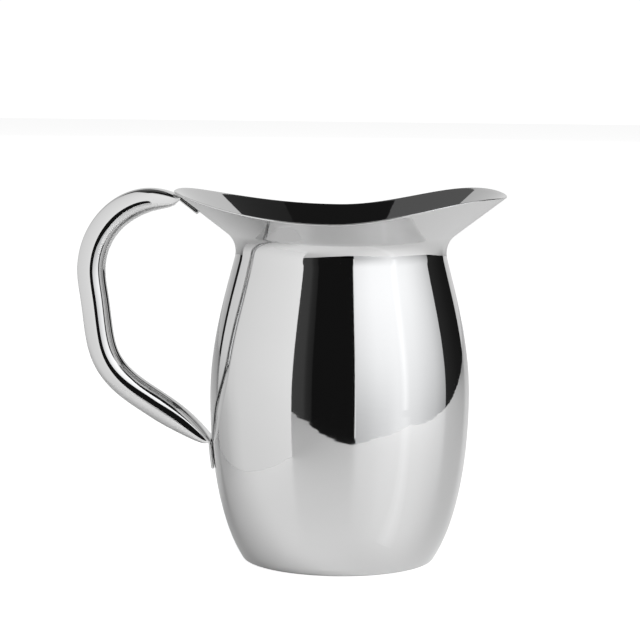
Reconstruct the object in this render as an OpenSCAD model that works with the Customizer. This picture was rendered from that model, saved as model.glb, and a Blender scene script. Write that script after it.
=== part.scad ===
// Two-litre bell pitcher in polished stainless steel.
// A thin drawn body with a bulged barrel, a narrow neck and a wide flare whose lip
// rises to the handle and to the spout. A bent tube handle has both ends pressed flat
// and spot-welded to the flare and to the barrel.
// +Z is up, +X points to the spout, and the origin is the centre of the base on the
// surface that the pitcher stands on.

/* [Barrel] */
// Widest diameter of the barrel
belly_d = 140; // [136:0.5:144]
// Height of the widest place above the base
belly_z = 89; // [84:1:94]
// Diameter of the base where its sharp corner would be
base_d = 103; // [98:0.5:106]
// Radius of the corner between the base and the side
corner_r = 2.5; // [1.5:0.5:4]
// Lean of the side where it leaves the base, in degrees from vertical
base_lean = 32; // [28:1:36]
// Thickness of the steel sheet
sheet = 0.8; // [0.6:0.1:1.2]

/* [Neck and mouth] */
// Diameter of the neck
neck_d = 113.5; // [110:0.5:117]
// Height of the neck above the base
neck_z = 167; // [165:0.5:169]
// Radius of the cove between the shoulder and the flare
cove_r = 12.5; // [10:0.5:14]
// Lean of the shoulder just under the cove, in degrees from vertical
shoulder_lean = 14; // [12:0.5:16]
// Lean of the flare, in degrees from vertical
flare_lean = 52.5; // [51:0.5:54]
// Height of the lowest place of the lip
lip_low_z = 187.3; // [185.5:0.2:188.9]
// Height of the lip above the handle
lip_handle_z = 199; // [198.2:0.2:200.4]
// Height of the lip at the tip of the spout
lip_spout_z = 198; // [196.5:0.5:199.5]

/* [Handle] */
// Diameter of the tube before it is bent and pressed
tube_d = 15.8; // [15:0.1:16.5]
// Thickness of the tube's wall
tube_wall = 0.8; // [0.6:0.05:1]
// Thickness of the bent tube across its grip, seen from the side
grip_t = 15.3; // [14.6:0.1:15.6]
// Width of the slit that is left between the two walls of a pressed end
slit = 0.2; // [0.1:0.05:0.3]
// Length of tube over which the upper pressed end opens to its full thickness
upper_opening = 42; // [36:1:46]
// Length of tube over which the lower pressed end opens to its full thickness
lower_opening = 36; // [32:1:42]

/* [Welds] */
// Diameter of a spot weld
weld_d = 5; // [3:0.5:6]
// Thickness of a spot weld, which is the gap it fills
weld_t = 0.2; // [0.15:0.05:0.3]
// Distance between the two spot welds of one end
weld_pitch = 12; // [9:1:14]

/* [Hidden] */
$fn = 128;

belly_r = belly_d / 2;
neck_r = neck_d / 2;
base_r = base_d / 2;

// Lengths of the tangents that shape the barrel's two curves
base_pull = 25.5;
lower_pull = 30.5;
upper_pull = 29;
shoulder_pull = 20;

// Numbers of steps along the curves
barrel_steps = 14;
arc_steps = 6;
cove_steps = 9;
lip_steps = 18;
flare_top_z = 206;

// ---- curves ----

// Point at t, from 0 to 1, on the cubic curve with four control points
function bezier(p, t) =
    pow(1 - t, 3) * p[0] + 3 * pow(1 - t, 2) * t * p[1]
    + 3 * (1 - t) * t * t * p[2] + t * t * t * p[3];

// Points along a cubic curve, without its first point
function bezier_run(p, steps) = [for (i = [1:steps]) bezier(p, i / steps)];

// Unit vector along v
function unit(v) = v / norm(v);

// Heading of a line of points at point i
function heading(line, i) =
    unit(line[min(i + 1, len(line) - 1)] - line[max(i - 1, 0)]);

// Distance along a line of points from point a to point b
function run_length(line, a, b) =
    a >= b ? 0 : norm(line[a + 1] - line[a]) + run_length(line, a + 1, b);

// ---- outline of the body: radius and height, from the base to above the lip ----

corner_tangent = corner_r * tan((90 - base_lean) / 2);
corner_points = [for (i = [0:arc_steps]) let (a = (90 - base_lean) * i / arc_steps)
    [base_r - corner_tangent + corner_r * sin(a), corner_r * (1 - cos(a))]];
side_start = corner_points[arc_steps];

cove_start = [neck_r + cove_r * (1 - cos(shoulder_lean)), neck_z - cove_r * sin(shoulder_lean)];
cove_points = [for (i = [0:cove_steps])
    let (a = -shoulder_lean + (shoulder_lean + flare_lean) * i / cove_steps)
    [neck_r + cove_r * (1 - cos(a)), neck_z + cove_r * sin(a)]];
flare_start = cove_points[cove_steps];

lower_curve = [side_start, side_start + base_pull * [sin(base_lean), cos(base_lean)],
    [belly_r, belly_z - lower_pull], [belly_r, belly_z]];
upper_curve = [[belly_r, belly_z], [belly_r, belly_z + upper_pull],
    cove_start + shoulder_pull * [sin(shoulder_lean), -cos(shoulder_lean)], cove_start];

// Radius of the flare's outside at height z
function flare_r(z) = flare_start[0] + (z - flare_start[1]) * tan(flare_lean);

barrel_line = concat(corner_points, bezier_run(lower_curve, barrel_steps),
    bezier_run(upper_curve, barrel_steps), [for (i = [1:cove_steps]) cove_points[i]]);
body_line = concat(barrel_line, [[flare_r(flare_top_z), flare_top_z]]);

// The body's outline moved by d along its outward normal
function moved_line(d) = [for (i = [0:len(body_line) - 1])
    let (h = i == 0 ? [1, 0] : heading(body_line, i)) body_line[i] + d * [h[1], -h[0]]];

// Radius of the barrel's outside at height z
function barrel_r(z) = lookup(z, [for (p = barrel_line) [p[1], p[0]]]);

// ---- line of the lip, seen from the side ----

lip_low_x = -3.3;
lip_points = concat([[-flare_r(lip_handle_z), lip_handle_z]],
    bezier_run([[-flare_r(lip_handle_z), lip_handle_z], [-86.3, lip_handle_z + 1.9],
        [-53.9, lip_low_z], [lip_low_x, lip_low_z]], lip_steps),
    bezier_run([[lip_low_x, lip_low_z], [31.3, lip_low_z],
        [64.6, lip_spout_z + 5.6], [flare_r(lip_spout_z), lip_spout_z]], lip_steps));

// ---- line of the handle's back wall, seen from the side ----
// The back wall is the one that touches the body at both ends. It is the outer wall of
// the upper half and, past the middle of the grip, the inner wall of the lower half.

upper_end_z = 188;
upper_crease_z = 195.7;
lower_crease_z = 63.6;
lower_end_z = 49.5;
tab_steps = 4;
bend_steps = 20;

// Place on the flare, at height z, where the welded face lies
function on_flare(z) =
    [-flare_r(z), z] + weld_t * [-cos(flare_lean), -sin(flare_lean)];

// Place on the barrel, at height z, where the welded face lies
function on_barrel(z) = [-barrel_r(z) - weld_t, z];

upper_tab_line = [for (i = [0:tab_steps])
    on_flare(upper_end_z + (upper_crease_z - upper_end_z) * i / tab_steps)];
upper_bend_line = [for (i = [1:bend_steps])
    bezier([upper_tab_line[tab_steps], [-115, 211.2], [-145.8, 182.9], [-142.4, 150.2]],
        i / bend_steps)];
lower_tab_line = [for (i = [0:tab_steps])
    on_barrel(lower_crease_z + (lower_end_z - lower_crease_z) * i / tab_steps)];
lower_bend_line = [for (i = [0:bend_steps - 1])
    bezier([[-122.8, 122.8], [-121.4, 92.3], [-87, 94], lower_tab_line[0]], i / bend_steps)];

// The middle of the grip, on its outer and on its inner wall
grip_outer = [-140.4, 136];
grip_inner = grip_outer + grip_t * unit([32, 4.1]);

upper_line = concat(upper_tab_line, upper_bend_line, [grip_outer]);
lower_line = concat([grip_inner], lower_bend_line, lower_tab_line);

// ---- sections of the tube ----

tab_t = 2 * tube_wall + slit;
quarter_round = PI * tube_d / 4;
section_points = 24;

// Thickness of the tube at distance d from its crease; a small swell opens it early
function thickness(d, opening, swell) =
    tab_t + (grip_t - tab_t) * pow(sin(90 * min(1, max(0, d) / opening)), swell);

// Half width of the tube where its half thickness is a: the way round stays the same
function half_width(a) = quarter_round - (PI / 2 - 1) * a;

// Power of x that keeps its sign
function signed_pow(x, e) = sign(x) * pow(abs(x), e);

// One section: centre c, outward direction n, half thickness a, dish q, wall w left out.
// It is round where the tube is open and nearly flat where it is pressed.
function section(c, n, a, q, w) =
    let (b = half_width(a) - w, h = a - w, e = 2 / (4 - 2 * a / (grip_t / 2)))
    [for (k = [0:section_points - 1]) let (
        t = 360 * k / section_points,
        y = b * signed_pow(cos(t), e),
        p = c + n * (h * signed_pow(sin(t), e) + q * y * y))
        [p[0], y, p[1]]];

// Dish of a pressed end, from the curve of the surface it lies on; it fades as the tube opens
upper_fit = cos(flare_lean) / (2 * flare_r((upper_end_z + upper_crease_z) / 2));
lower_fit = -1 / (2 * barrel_r((lower_end_z + lower_crease_z) / 2));
function dish(fit, d, opening) = fit * max(0, 1 - d / opening);

// All sections of the tube's outside (w = 0) or of its bore (w = the wall)
function tube_sections(w) = concat(
    [for (i = [0:len(upper_line) - 1]) let (
        d = i <= tab_steps ? 0 : run_length(upper_line, tab_steps, i),
        h = heading(upper_line, i), n = [h[1], -h[0]],
        a = thickness(d, upper_opening, 0.39) / 2)
        section(upper_line[i] - n * a, n, a, dish(upper_fit, d, upper_opening), w)],
    [for (i = [1:len(lower_line) - 1]) let (
        last = len(lower_line) - 1 - tab_steps,
        d = i >= last ? 0 : run_length(lower_line, i, last),
        h = heading(lower_line, i), n = [h[1], -h[0]],
        a = thickness(d, lower_opening, 0.53) / 2)
        section(lower_line[i] + n * a, n, a, dish(lower_fit, d, lower_opening), w)]);

// ---- sub-parts ----

module body_shell() {
    color([0.78, 0.79, 0.80])
    difference() {
        rotate_extrude()
            polygon(concat([[0, 0]], body_line,
                [for (i = [len(body_line) - 1:-1:0]) moved_line(-sheet)[i]], [[0, sheet]]));
        lip_cut();
    }
}

// Everything above the line of the lip
module lip_cut() {
    reach = flare_r(flare_top_z) + 2;
    rotate([90, 0, 0])
        linear_extrude(height = 2 * reach, center = true)
            polygon(concat([[-reach, lip_handle_z]], lip_points,
                [[reach, lip_spout_z], [reach, flare_top_z + 2], [-reach, flare_top_z + 2]]));
}

module handle_tube() {
    outside = tube_sections(0);
    bore = tube_sections(tube_wall);
    rings = len(outside);
    m = section_points;
    skin = [for (r = outside) each r];
    lining = [for (r = bore) each r];
    skin_faces = [for (i = [0:rings - 2]) for (k = [0:m - 1]) let (j = (k + 1) % m)
        each [[i * m + k, i * m + j, (i + 1) * m + j], [i * m + k, (i + 1) * m + j, (i + 1) * m + k]]];
    lining_faces = [for (f = skin_faces) [f[2], f[1], f[0]] + rings * m * [1, 1, 1]];
    end_faces = [for (k = [0:m - 1]) let (j = (k + 1) % m, o = rings * m, z = (rings - 1) * m)
        each [[k, o + k, o + j], [k, o + j, j], [z + k, z + j, o + z + j], [z + k, o + z + j, o + z + k]]];
    color([0.80, 0.81, 0.82])
        polyhedron(concat(skin, lining), concat(skin_faces, lining_faces, end_faces), convexity = 6);
}

// Skin of thickness weld_t over the outside of the body
module weld_skin() {
    rotate_extrude()
        polygon(concat(body_line, [for (i = [len(body_line) - 1:-1:0]) moved_line(weld_t)[i]]));
}

// Two round spots through that skin: p is the middle of the pair in the side view, lean the
// tilt of their axis from horizontal
module spot_pair(p, lean) {
    color([0.62, 0.62, 0.63])
    for (side = [-1, 1])
        intersection() {
            weld_skin();
            translate([p[0], side * weld_pitch / 2, p[1]])
                rotate([0, 90 - lean, 0])
                    cylinder(h = 10, d = weld_d, center = true);
        }
}

module upper_spot_welds() {
    spot_pair(on_flare((upper_end_z + upper_crease_z) / 2), flare_lean);
}

module lower_spot_welds() {
    spot_pair(on_barrel((lower_end_z + lower_crease_z) / 2), 0);
}

body_shell();
handle_tube();
upper_spot_welds();
lower_spot_welds();
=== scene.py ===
"""A mirror-polished steel water pitcher on a plain pale floor, in a white studio with a dark front.

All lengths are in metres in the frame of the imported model: +Z is up, +X points to the spout and
the origin is the centre of the base. Azimuths are in degrees: 0 points from the pitcher to the
camera's side (-Y), and positive ones turn towards +X.
"""
import math

import bpy
import numpy as np
from mathutils import Matrix


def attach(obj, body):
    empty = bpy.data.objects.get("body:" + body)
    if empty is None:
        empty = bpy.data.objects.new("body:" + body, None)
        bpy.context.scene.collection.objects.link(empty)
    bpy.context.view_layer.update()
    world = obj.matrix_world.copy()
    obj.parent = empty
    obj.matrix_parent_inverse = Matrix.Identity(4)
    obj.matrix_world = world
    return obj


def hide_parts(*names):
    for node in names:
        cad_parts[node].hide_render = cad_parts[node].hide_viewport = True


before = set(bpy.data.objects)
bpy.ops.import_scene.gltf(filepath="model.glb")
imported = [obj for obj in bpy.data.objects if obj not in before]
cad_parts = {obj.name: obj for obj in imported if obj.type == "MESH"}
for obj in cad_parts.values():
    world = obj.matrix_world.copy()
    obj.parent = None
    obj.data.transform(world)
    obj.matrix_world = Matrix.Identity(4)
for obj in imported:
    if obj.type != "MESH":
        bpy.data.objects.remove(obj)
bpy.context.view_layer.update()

MM = 0.001

# ---------------------------------------------------------------- dimensions (millimetres)

BELLY_R, BELLY_Z = 70.0, 89.0
NECK_R, NECK_Z = 56.75, 167.0
BASE_R, CORNER_R = 51.5, 2.5
BASE_LEAN, SHOULDER_LEAN, FLARE_LEAN = 32.0, 14.0, 52.5
COVE_R = 12.5
SHEET = 0.8
LIP_LOW = (-3.3, 187.3)
LIP_HANDLE_Z, LIP_SPOUT_Z = 199.0, 198.0
# How far the barrel's curves keep their direction at the base, under and over the belly, and at
# the shoulder
BASE_PULL, BELLY_PULL_DOWN, BELLY_PULL_UP, SHOULDER_PULL = 25.5, 30.5, 29.0, 20.0
# How finely the flare and the rounded edge of the lip are divided
FLARE_STEPS, EDGE_STEPS = 14, 7

TUBE_D, TUBE_WALL, GRIP_T, SLIT = 15.8, 0.8, 15.3, 0.2
# How far each pressed end takes to open, and how early it swells
UPPER_OPENING, UPPER_SWELL = 42.0, 0.39
LOWER_OPENING, LOWER_SWELL = 36.0, 0.53
WELD_T = 0.2
UPPER_END_Z, UPPER_CREASE_Z = 188.0, 195.7
LOWER_CREASE_Z, LOWER_END_Z = 63.6, 49.5
# Radius of the barrel under the lower pressed end
LOWER_TAB_R = 69.0
# The share of the grip's thickness under which a section gets square sides
PRESSED_SHARE = 0.35
# The bends as (x, z) control points, a point on the grip's outer wall, and the way across the grip
UPPER_BEND = ((-115, 211.2), (-145.8, 182.9), (-142.4, 150.2))
GRIP_OUTER = (-140.4, 136.0)
GRIP_ACROSS = (32, 4.1)
LOWER_BEND = ((-122.8, 122.8), (-121.4, 92.3), (-87, 94))
# How many of the lower bend's steps are left out where the grip runs into it
BEND_STEPS, LOWER_SKIPPED = 90, 10

# ---------------------------------------------------------------- studio and camera

# The walls of the studio are a ball round a point over the pitcher's base (metres)
STUDIO_R, STUDIO_Z = 2.5, 0.1
# The table top that the steel mirrors: its front edge, where the dark front begins, and its back
TABLE_EDGE = [(-2.4, -1.15), (-0.323, -0.501), (-0.205, -0.479), (-0.099, -0.413), (0.063, -0.336),
              (0.227, -0.323), (0.434, -0.225), (0.64, 0.19), (0.676, 0.251), (0.842, 0.518),
              (1.024, 0.935), (1.3, 2.4), (-2.4, 2.4)]
WAVE_DEPTH, RIPPLE_DEPTH = 0.00004, 0.000012

# Place of the camera (metres and azimuth), and the angles it is turned by (degrees)
CAMERA_DISTANCE, CAMERA_HEIGHT, CAMERA_AZIMUTH = 1.4, 0.292, 2.05
CAMERA_TURN, CAMERA_DOWN, CAMERA_ROLL = 2.50, 6.61, 0.55


# ---------------------------------------------------------------- curves

def bezier(points, t):
    """Points at t on the cubic curve with four control points."""
    p = np.array(points, float)
    t = np.asarray(t, float)[:, None]
    return (1 - t) ** 3 * p[0] + 3 * (1 - t) ** 2 * t * p[1] + 3 * (1 - t) * t * t * p[2] + t**3 * p[3]


def lean(angle):
    """Unit vector in (radius, height) that leans outwards from vertical by an angle in degrees."""
    return np.array([math.sin(math.radians(angle)), math.cos(math.radians(angle))])


def normals(line):
    """Unit normals of a line of (radius, height) points, on its right-hand side."""
    along = np.gradient(line, axis=0)
    along /= np.linalg.norm(along, axis=1, keepdims=True)
    return np.c_[along[:, 1], -along[:, 0]]


def arc(centre, radius, start, end, steps):
    """Points on an arc that bulges outwards, from one angle in degrees to another; 0 is its lowest
    point and 90 its outermost one."""
    a = np.radians(np.linspace(start, end, steps))
    return np.c_[centre[0] + radius * np.sin(a), centre[1] - radius * np.cos(a)]


# ---------------------------------------------------------------- body

def flare_start():
    """Where the neck's cove ends and the straight flare starts: (radius, height)."""
    a = math.radians(FLARE_LEAN)
    return np.array([NECK_R + COVE_R * (1 - math.cos(a)), NECK_Z + COVE_R * math.sin(a)])


def flare_r(z):
    """Radius of the flare's outside at height z."""
    start = flare_start()
    return start[0] + (z - start[1]) * math.tan(math.radians(FLARE_LEAN))


def barrel_line():
    """Outline of the body's outside, from the edge of the base to the start of the flare."""
    tangent = CORNER_R * math.tan(math.radians((90 - BASE_LEAN) / 2))
    corner = arc((BASE_R - tangent, CORNER_R), CORNER_R, 0, 90 - BASE_LEAN, 9)
    side = corner[-1]
    belly = np.array([BELLY_R, BELLY_Z])
    shoulder = math.radians(SHOULDER_LEAN)
    cove_start = np.array([NECK_R + COVE_R * (1 - math.cos(shoulder)), NECK_Z - COVE_R * math.sin(shoulder)])
    lower = bezier([side, side + BASE_PULL * lean(BASE_LEAN), belly - [0, BELLY_PULL_DOWN], belly],
                   np.linspace(0, 1, 44))
    upper = bezier([belly, belly + [0, BELLY_PULL_UP],
                    cove_start - SHOULDER_PULL * lean(-SHOULDER_LEAN), cove_start],
                   np.linspace(0, 1, 38))
    a = np.radians(np.linspace(-SHOULDER_LEAN, FLARE_LEAN, 22))
    cove = np.c_[NECK_R + COVE_R * (1 - np.cos(a)), NECK_Z + COVE_R * np.sin(a)]
    return np.vstack([corner, lower[1:], upper[1:], cove[1:]])


def lip_height(x):
    """Height of the lip's line above each x, seen from the side."""
    t = np.linspace(0, 1, 120)
    handle_side = bezier([(-flare_r(LIP_HANDLE_Z), LIP_HANDLE_Z), (-86.3, LIP_HANDLE_Z + 1.9),
                          (-53.9, LIP_LOW[1]), LIP_LOW], t)
    spout_side = bezier([LIP_LOW, (31.3, LIP_LOW[1]), (64.6, LIP_SPOUT_Z + 5.6),
                         (flare_r(LIP_SPOUT_Z), LIP_SPOUT_Z)], t)
    line = np.vstack([handle_side, spout_side[1:]])
    return np.interp(x, line[:, 0], line[:, 1])


def lip_at(angle):
    """Height at which the flare's outside ends in the direction of an angle about Z. The top of
    the rounded edge, which is further in and higher, is then on the lip's line."""
    half = SHEET / 2
    across = half * np.array([-math.cos(math.radians(FLARE_LEAN)), math.sin(math.radians(FLARE_LEAN))])
    top_of_edge = across - half * lean(FLARE_LEAN) + (0, half)
    low, high = LIP_LOW[1] - 2, LIP_HANDLE_Z + 2
    for _ in range(40):
        z = (low + high) / 2
        if z + top_of_edge[1] < lip_height((flare_r(z) + top_of_edge[0]) * math.cos(angle)):
            low = z
        else:
            high = z
    return (low + high) / 2


def body_column(angle, barrel):
    """One vertical strip of the body: base, outside, rounded lip edge, inside and base again."""
    top = lip_at(angle)
    start = barrel[-1]
    share = np.linspace(0, 1, FLARE_STEPS + 1)[1:, None]
    flare = start + share * (np.array([flare_r(top), top]) - start)
    outside = np.vstack([barrel, flare])
    out = normals(outside)
    out[0] = (0, -1)
    inside = outside - SHEET * out
    # The lip's edge is a half round between the two faces of the sheet
    half = SHEET / 2
    outside[-1] -= half * lean(FLARE_LEAN)
    inside[-1] -= half * lean(FLARE_LEAN)
    middle = (outside[-1] + inside[-1]) / 2
    turn = np.linspace(0, math.pi, EDGE_STEPS + 1)[1:-1, None]
    edge = middle + half * (np.cos(turn) * out[-1] + np.sin(turn) * lean(FLARE_LEAN))
    base_share = np.array([[0.3], [0.6], [0.85]])
    under = base_share * outside[0]
    floor = base_share[::-1] * [inside[0][0], 0] + [0, SHEET]
    inside[0] = (inside[0][0], SHEET)
    return np.vstack([under, outside, edge, inside[::-1], floor])


def mesh_object(name, points, faces):
    mesh = bpy.data.meshes.new(name)
    mesh.from_pydata(points, [], faces)
    mesh.update()
    mesh.shade_smooth()
    obj = bpy.data.objects.new(name, mesh)
    bpy.context.scene.collection.objects.link(obj)
    return obj


def body_shell(columns=384):
    """The drawn body: strips all round, closed by one point under and one inside the base."""
    barrel = barrel_line()
    angles = np.linspace(0, 2 * math.pi, columns, endpoint=False)
    strips = [body_column(a, barrel) for a in angles]
    rows = len(strips[0])
    points = []
    for a, strip in zip(angles, strips):
        for r, z in strip:
            points.append((r * math.cos(a) * MM, r * math.sin(a) * MM, z * MM))
    under, floor = len(points), len(points) + 1
    points += [(0, 0, 0), (0, 0, SHEET * MM)]
    faces = []
    for c in range(columns):
        here, there = c * rows, (c + 1) % columns * rows
        faces.append((under, there, here))
        for r in range(rows - 1):
            faces.append((here + r, there + r, there + r + 1, here + r + 1))
        faces.append((here + rows - 1, there + rows - 1, floor))
    obj = mesh_object("pitcher_body", points, faces)
    # The sheet's cut edge
    first = 3 + len(barrel) + FLARE_STEPS - 1
    strip = [1.0 if first <= r <= first + EDGE_STEPS else 0.0 for r in range(rows)]
    obj.data.attributes.new("rim", "FLOAT", "POINT").data.foreach_set("value", strip * columns + [0.0, 0.0])
    return obj


# ---------------------------------------------------------------- handle

def path_lengths(line):
    """Distance along a line to each of its points."""
    return np.r_[0, np.cumsum(np.linalg.norm(np.diff(line, axis=0), axis=1))]


def thickness(d, opening, swell):
    """Thickness of the tube, seen from the side, at distance d from the crease of its pressed end."""
    tab = 2 * TUBE_WALL + SLIT
    return tab + (GRIP_T - tab) * math.sin(math.pi / 2 * min(d / opening, 1)) ** swell


def half_width(half_t):
    """Half width of the tube where it is pressed to a half thickness: its girth stays the same."""
    return math.pi * TUBE_D / 4 - (math.pi / 2 - 1) * half_t


def towards(start, end):
    """Unit vector from one point to another."""
    step = end - start
    return step / np.linalg.norm(step)


def handle_line():
    """The handle seen from the side: its outer wall from the upper pressed end to the grip and its
    inner wall from there to the lower pressed end, as (x, z) points, each followed by the number
    of the point at which that end is creased."""
    face = math.radians(FLARE_LEAN)
    off = WELD_T * np.array([-math.cos(face), -math.sin(face)])
    z = np.linspace(UPPER_END_Z, UPPER_CREASE_Z, 14)
    upper_tab = np.c_[[-flare_r(h) for h in z], z] + off
    t = np.linspace(0, 1, BEND_STEPS)
    upper = bezier([upper_tab[-1], *UPPER_BEND], t)
    barrel = barrel_line()
    z = np.linspace(LOWER_CREASE_Z, LOWER_END_Z, 18)
    lower_tab = np.c_[-np.interp(z, barrel[:, 1], barrel[:, 0]) - WELD_T, z]
    lower = bezier([*LOWER_BEND, lower_tab[0]], t)[LOWER_SKIPPED:]
    # The nearly straight grip joins the two bends smoothly
    across = np.array(GRIP_ACROSS) / math.hypot(*GRIP_ACROSS)
    down = np.array([across[1], -across[0]])
    outer = np.array(GRIP_OUTER)
    inner = outer + GRIP_T * across
    t = np.linspace(0, 1, 12)
    grip_top = bezier([upper[-1], upper[-1] + 4.8 * towards(upper[-2], upper[-1]),
                       outer - 4.8 * down, outer], t)
    grip_foot = bezier([inner, inner + 11 * down,
                        lower[0] - 6 * towards(lower[0], lower[1]), lower[0]], t)
    upper_line = np.vstack([upper_tab, upper[1:], grip_top[1:]])
    lower_line = np.vstack([grip_foot, lower[1:-1], lower_tab])
    return upper_line, len(upper_tab) - 1, lower_line, len(lower_line) - len(lower_tab)


def ring(centre, normal, half_t, dish, wall, count=56):
    """One section of the tube, as points; wall is left out all round."""
    a = half_t - wall
    b = half_width(half_t) - wall
    share = half_t / (GRIP_T / 2)
    # Round where the tube is open, and flat with square sides where it is pressed
    e = 2 / (4 - 2 * share + 6 * max(0, 1 - share / PRESSED_SHARE) ** 2)
    t = np.linspace(0, 2 * math.pi, count, endpoint=False)
    y = b * np.sign(np.cos(t)) * np.abs(np.cos(t)) ** e
    lift = a * np.sign(np.sin(t)) * np.abs(np.sin(t)) ** e + dish * y * y
    return np.c_[centre[0] + normal[0] * lift, y, centre[1] + normal[1] * lift]


def handle_rings(wall):
    """The sections of the handle's tube from its upper to its lower end. The pressed ends are
    dished to fit the flare and the barrel."""
    upper, upper_crease, lower, lower_crease = handle_line()
    rings = []
    s = path_lengths(upper)
    side = normals(upper)
    upper_fit = math.cos(math.radians(FLARE_LEAN)) / (2 * flare_r((UPPER_END_Z + UPPER_CREASE_Z) / 2))
    lower_fit = -1 / (2 * LOWER_TAB_R)
    for i in range(len(upper)):
        d = max(0.0, s[i] - s[upper_crease])
        half_t = thickness(d, UPPER_OPENING, UPPER_SWELL) / 2
        dish = upper_fit * max(0, 1 - d / UPPER_OPENING)
        rings.append(ring(upper[i] - half_t * side[i], side[i], half_t, dish, wall))
    s = path_lengths(lower)
    side = normals(lower)
    for i in range(1, len(lower)):
        d = max(0.0, s[lower_crease] - s[i])
        half_t = thickness(d, LOWER_OPENING, LOWER_SWELL) / 2
        dish = lower_fit * max(0, 1 - d / LOWER_OPENING)
        rings.append(ring(lower[i] + half_t * side[i], side[i], half_t, dish, wall))
    return np.array(rings)


def handle_tube():
    """The handle's tube, hollow, with its two cut ends closed between the skin and the lining."""
    skin, lining = handle_rings(0), handle_rings(TUBE_WALL)
    count, around = skin.shape[:2]
    points = np.vstack([skin.reshape(-1, 3), lining.reshape(-1, 3)]) * MM
    faces = []
    inner = count * around
    last = (count - 1) * around
    for k in range(around):
        j = (k + 1) % around
        for i in range(count - 1):
            a, b = i * around, (i + 1) * around
            faces.append((a + k, b + k, b + j, a + j))
            faces.append((inner + a + j, inner + b + j, inner + b + k, inner + a + k))
        faces.append((k, j, inner + j, inner + k))
        faces.append((last + j, last + k, inner + last + k, inner + last + j))
    return mesh_object("pitcher_handle", points.tolist(), faces)


# ---------------------------------------------------------------- materials

def add(tree, kind, **values):
    """A shader node; values set its properties, or its input sockets by name."""
    node = tree.nodes.new("ShaderNode" + kind)
    for key, value in values.items():
        name = key.replace("_", " ").title()
        if name in node.inputs:
            node.inputs[name].default_value = value
        else:
            setattr(node, key, value)
    return node


def noise(tree, place, scale, detail, stretch=None):
    """A noise pattern in the object's own space; stretch squeezes it along each axis."""
    vector = place.outputs["Object"]
    if stretch:
        mapping = add(tree, "Mapping")
        mapping.inputs["Scale"].default_value = stretch
        tree.links.new(vector, mapping.inputs["Vector"])
        vector = mapping.outputs["Vector"]
    texture = add(tree, "TexNoise", scale=scale, detail=detail)
    tree.links.new(vector, texture.inputs["Vector"])
    return texture.outputs["Fac"]


def bump(tree, height, distance, normal=None):
    """The surface's normal, tilted by a pattern of heights."""
    node = add(tree, "Bump", strength=1.0, distance=distance)
    tree.links.new(height, node.inputs["Height"])
    if normal:
        tree.links.new(normal, node.inputs["Normal"])
    return node.outputs["Normal"]


def rougher_rim(tree, roughness):
    """The roughness, raised where the "rim" attribute marks an unpolished edge."""
    rim = add(tree, "Attribute", attribute_name="rim")
    ground = add(tree, "Math", operation="MULTIPLY_ADD")
    ground.inputs[1].default_value = 0.12
    tree.links.new(rim.outputs["Fac"], ground.inputs[0])
    tree.links.new(roughness, ground.inputs[2])
    return ground.outputs["Value"]


def steel(name, colour, stretch, roughness=(0.02, 0.05), ripple=0.0, edge=False):
    """Polished steel: slow waves of the sheet, fine polishing lines along one direction, and
    ripples that spinning leaves round the body."""
    material = bpy.data.materials.new(name)
    material.use_nodes = True
    tree = material.node_tree
    tree.nodes.clear()
    link = tree.links.new
    shader = add(tree, "BsdfPrincipled", metallic=1.0)
    link(shader.outputs["BSDF"], add(tree, "OutputMaterial").inputs["Surface"])
    place = add(tree, "TexCoord")
    # Fine lines left by the polishing wheel
    lines = noise(tree, place, 40.0, 3.0, stretch)
    rough = add(tree, "MapRange", to_min=roughness[0], to_max=roughness[1])
    link(lines, rough.inputs["Value"])
    rough_value = rough.outputs["Result"]
    if edge:
        rough_value = rougher_rim(tree, rough_value)
    link(rough_value, shader.inputs["Roughness"])
    tint = add(tree, "ValToRGB")
    tint.color_ramp.elements[0].color = (*[c * 0.97 for c in colour], 1)
    tint.color_ramp.elements[1].color = (*colour, 1)
    link(lines, tint.inputs["Fac"])
    link(tint.outputs["Color"], shader.inputs["Base Color"])
    # Slow waves, with the fine ripples on them
    normal = bump(tree, noise(tree, place, 22.0, 1.0), WAVE_DEPTH)
    if ripple:
        normal = bump(tree, noise(tree, place, 1.0, 1.0, (90, 90, 350)), ripple, normal)
    link(normal, shader.inputs["Normal"])
    return material


# ---------------------------------------------------------------- studio

def emission(name, colour, added=False):
    """Light with the strength of the "glow" attribute; when added, it adds to what is behind it."""
    material = bpy.data.materials.new(name)
    material.use_nodes = True
    tree = material.node_tree
    tree.nodes.clear()
    out = add(tree, "OutputMaterial")
    glow = add(tree, "Emission", color=colour)
    value = add(tree, "Attribute", attribute_name="glow")
    tree.links.new(value.outputs["Fac"], glow.inputs["Strength"])
    surface = glow.outputs[0]
    if added:
        both = add(tree, "AddShader")
        tree.links.new(surface, both.inputs[0])
        tree.links.new(add(tree, "BsdfTransparent").outputs[0], both.inputs[1])
        surface = both.outputs[0]
    tree.links.new(surface, out.inputs["Surface"])
    return material


def reflected_only(obj):
    """Stage dressing that is seen in the steel and nowhere else."""
    obj.visible_camera = False
    obj.visible_diffuse = False
    obj.visible_shadow = False
    obj.visible_transmission = False


def glowing_sheet(name, points, values, columns, material):
    """A sheet of points in rows of so many columns, with the brightness of each point."""
    rows = len(points) // columns
    faces = [(r * columns + c, r * columns + c + 1, (r + 1) * columns + c + 1, (r + 1) * columns + c)
             for r in range(rows - 1) for c in range(columns - 1)]
    obj = mesh_object(name, points, faces)
    obj.data.attributes.new("glow", "FLOAT", "POINT").data.foreach_set("value", values)
    obj.data.materials.append(material)
    reflected_only(obj)
    return obj


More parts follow.
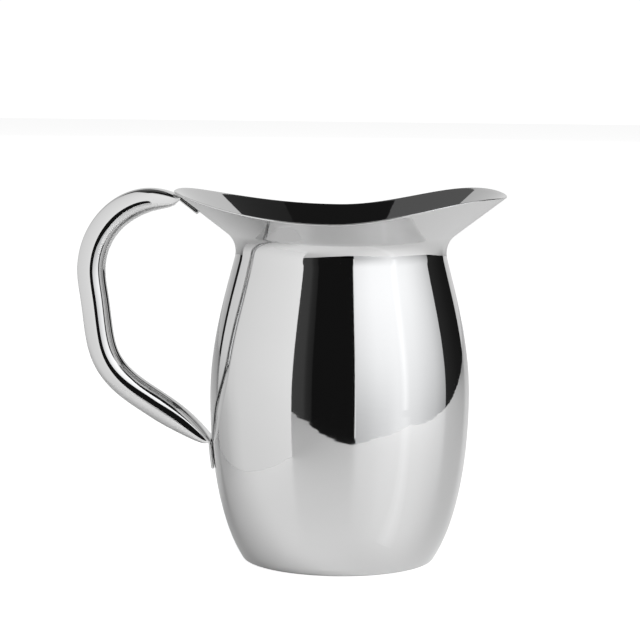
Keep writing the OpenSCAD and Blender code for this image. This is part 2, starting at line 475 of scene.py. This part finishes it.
def studio_patch(name, azimuths, elevations, glow, material, radius=STUDIO_R):
    """A patch of the studio's walls, seen only in reflections. glow is its brightness at each of
    the azimuths, for each of the elevations."""
    az = np.linspace(azimuths[0], azimuths[-1], 33)
    el = np.linspace(elevations[0], elevations[-1], 17)
    rows = np.array([np.interp(az, azimuths, row) for row in np.atleast_2d(glow)])
    points, values = [], []
    for e in el:
        for k, a in enumerate(az):
            ar, er = math.radians(a), math.radians(e)
            points.append((radius * math.cos(er) * math.sin(ar), -radius * math.cos(er) * math.cos(ar),
                           STUDIO_Z + radius * math.sin(er)))
            values.append(float(np.interp(e, elevations, rows[:, k])))
    return glowing_sheet(name, points, values, len(az), material)


def card(name, near, far, shares, heights, glow, material):
    """An upright card that stands on the table between two floor points. glow is its brightness
    at each share of its length, for each of the heights."""
    near, far = np.array(near), np.array(far)
    points, values = [], []
    for z, row in zip(heights, glow):
        for share, value in zip(shares, row):
            x, y = near + share * (far - near)
            points.append((x, y, z))
            values.append(value)
    sheet = glowing_sheet(name, points, values, len(shares), material)
    sheet.visible_diffuse = True


def table_streak(near, far, half_widths, glow, material):
    """The softbox's brighter middle, mirrored as a soft streak along the table."""
    near, far = np.array(near), np.array(far)
    along = (far - near) / np.linalg.norm(far - near)
    across = np.array([-along[1], along[0]])
    points, values = [], []
    for turn, value in ((-1, 0), (-0.5, 0.6 * glow), (0, glow), (0.5, 0.6 * glow), (1, 0)):
        for end, half in zip((near, far), half_widths):
            x, y = end + turn * half * across
            points.append((x, y, 0.0001))
            values.append(value)
    glowing_sheet("table_streak", points, values, 2, material)


def studio():
    """A white card stands close on the left, the front is dark round the camera, a large softbox
    fills the right-hand front, and plain walls close the back."""
    glow = emission("studio_glow", (1, 1, 1, 1))
    cool = emission("softbox_glow", (0.992, 1.0, 1.012, 1))
    extra = emission("added_glow", (1, 1, 1, 1), added=True)
    top = 40
    card("left_card", (-0.159, -0.225), (-0.268, 0.180), (0, 0.47, 0.57, 0.68, 0.84, 1),
         (0.0, 0.05, 0.12, 0.55),
         ((1.02, 0.91, 0.80, 0.64, 0.56, 0.54), (1.06, 0.94, 0.84, 0.70, 0.62, 0.60),
          (1.12, 0.98, 0.95, 0.90, 0.84, 0.82), (1.2, 1.03, 0.995, 0.955, 0.90, 0.84)), glow)
    studio_patch("back_left", (-180, -165, -150, -139), (-25, 37), [(0.78, 0.68, 0.58, 0.54)] * 2, glow)
    studio_patch("front_dim", (-43, -30, -27, -22), (-20, top), [(0.068, 0.06, 0.033, 0.02)] * 2, glow)
    studio_patch("front_dark", (-22, 15.2), (-20, top), [(0.009, 0.009)] * 2, glow)
    studio_patch("softbox_edge", (15.2, 16.2), (-14, top), [(1.1, 1.1)] * 2, glow)
    studio_patch("softbox", (16.2, 25, 35, 45, 55, 75, 85, 95, 108.5), (-40, -14, 10, 24, 45),
                 [(0.7, 0.78, 0.92, 1.03, 1.20, 0.99, 0.83, 0.69, 0.38),
                  (0.7, 0.78, 0.92, 1.03, 1.20, 0.99, 0.83, 0.69, 0.38),
                  (1.1, 1.21, 1.34, 1.38, 1.43, 1.30, 1.18, 1.05, 0.75),
                  (1.3, 1.4, 1.5, 1.53, 1.55, 1.5, 1.4, 1.2, 1.0),
                  (1.4, 1.5, 1.6, 1.7, 1.7, 1.6, 1.5, 1.3, 1.1)], cool)
    studio_patch("softbox_streak", (56.5, 59, 61, 63, 65.5), (-8, 30), [(0, 0.1, 0.2, 0.1, 0)] * 2,
                 extra, radius=2.45)
    table_streak((0.040, -0.063), (0.50, -0.302), (0.010, 0.055), 0.09, extra)
    studio_patch("right_dark", (108.5, 130, 148), (-8, top), [(0.03, 0.015, 0.01)] * 2, glow)
    studio_patch("back_wall", (148, 180), (-25, top), [(0.7, 0.85), (0.73, 0.73)], glow)
    # Above the walls: grey on the left at the back, nearly black elsewhere, white over the front
    studio_patch("upper_left", (-180, -134.7), (37, 66), [(0.12, 0.12)] * 2, glow)
    studio_patch("upper_right", (128, 138, 150, 157), (40, 64), [(0.012, 0.02, 0.035, 0.045)] * 2, glow)
    studio_patch("front_top", (-70, 15.2), (39, 75), [(0.95, 0.95)] * 2, glow)
    studio_patch("ceiling", (-180, 180), (-10, 90), [(0.012, 0.012)] * 2, glow, radius=2.8)


def plane(name, corners, z):
    """A flat sheet at a height, from its corners."""
    return mesh_object(name, [(x, y, z) for x, y in corners], [tuple(range(len(corners)))])


def floor_material(name, albedo, glow=0.0, gloss=0.0):
    """A plain white material; the glow keeps it white in shade, the gloss mirrors the studio."""
    material = bpy.data.materials.new(name)
    material.use_nodes = True
    shader = material.node_tree.nodes["Principled BSDF"]
    shader.inputs["Base Color"].default_value = (albedo, albedo, albedo, 1)
    shader.inputs["Roughness"].default_value = 0.3 if gloss else 1.0
    shader.inputs["Specular IOR Level"].default_value = gloss
    shader.inputs["Emission Color"].default_value = (1, 1, 1, 1)
    shader.inputs["Emission Strength"].default_value = glow
    return material


def floors():
    """The floor that is seen, and the table top that the steel reflects, which ends
    in front."""
    seen = plane("floor", [(-6, -6), (6, -6), (6, 6), (-6, 6)], -0.0002)
    seen.visible_glossy = False
    seen.data.materials.append(floor_material("floor_white", 0.35, glow=0.92))
    table = plane("table_reflected", TABLE_EDGE, -0.0001)
    table.data.materials.append(floor_material("table_white", 0.85, gloss=0.5))
    reflected_only(table)


def lights():
    """White all round for what is not steel, and a large softbox from the right-hand front."""
    world = bpy.data.worlds.new("studio_world")
    bpy.context.scene.world = world
    world.use_nodes = True
    background = world.node_tree.nodes["Background"]
    background.inputs["Color"].default_value = (1, 1, 1, 1)
    background.inputs["Strength"].default_value = 1.05
    world.cycles_visibility.glossy = False
    world.cycles_visibility.diffuse = False
    ambient = emission("ambient_glow", (1, 1, 1, 1))
    dome = studio_patch("ambient", (-180, 180), (-2, 90), [(0.27, 0.27)] * 2, ambient, radius=5.0)
    dome.visible_diffuse = True
    dome.visible_glossy = False
    data = bpy.data.lights.new("key_softbox", "AREA")
    data.shape = "RECTANGLE"
    data.size, data.size_y = 1.8, 1.2
    data.energy = 58.0
    key = bpy.data.objects.new("key_softbox", data)
    bpy.context.scene.collection.objects.link(key)
    az, el, distance = math.radians(63), math.radians(30), 2.0
    spot = np.array([math.cos(el) * math.sin(az), -math.cos(el) * math.cos(az), math.sin(el)]) * distance
    key.location = spot + [0, 0, STUDIO_Z]
    key.rotation_euler = (math.pi / 2 - el, 0, az)
    key.visible_glossy = False
    key.visible_camera = False


# ---------------------------------------------------------------- camera

def camera():
    """The camera stands 1.4 m in front of the pitcher, a little to the spout's side."""
    data = bpy.data.cameras.new("camera")
    data.sensor_width = 36
    data.lens = 146.9
    data.clip_end = 50
    obj = bpy.data.objects.new("camera", data)
    bpy.context.scene.collection.objects.link(obj)
    side = math.radians(CAMERA_AZIMUTH)
    place = Matrix.Translation((CAMERA_DISTANCE * math.sin(side), -CAMERA_DISTANCE * math.cos(side),
                                CAMERA_HEIGHT))
    obj.matrix_world = (place @ Matrix.Rotation(math.radians(CAMERA_TURN), 4, "Z")
                        @ Matrix.Rotation(math.radians(90 - CAMERA_DOWN), 4, "X")
                        @ Matrix.Rotation(math.radians(CAMERA_ROLL), 4, "Z"))
    bpy.context.scene.camera = obj


# ---------------------------------------------------------------- the scene

camera()
lights()
studio()
floors()

body = body_shell()
body.data.materials.append(steel("polished_body_steel", (0.66, 0.66, 0.66), (0.05, 0.05, 1),
                                ripple=RIPPLE_DEPTH, edge=True))
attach(body, "root")
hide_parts("body_shell")

handle = handle_tube()
handle.data.materials.append(steel("polished_handle_steel", (0.66, 0.66, 0.66), (1, 1, 0.1)))
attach(handle, "root")
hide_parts("handle_tube")

weld = steel("weld_steel", (0.5, 0.49, 0.48), (1, 1, 1), roughness=(0.3, 0.5))
for node in ("upper_spot_welds", "lower_spot_welds"):
    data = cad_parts[node].data
    data.materials.clear()
    data.materials.append(weld)

bpy.context.scene.view_settings.view_transform = "Standard"

bpy.context.view_layer.update()
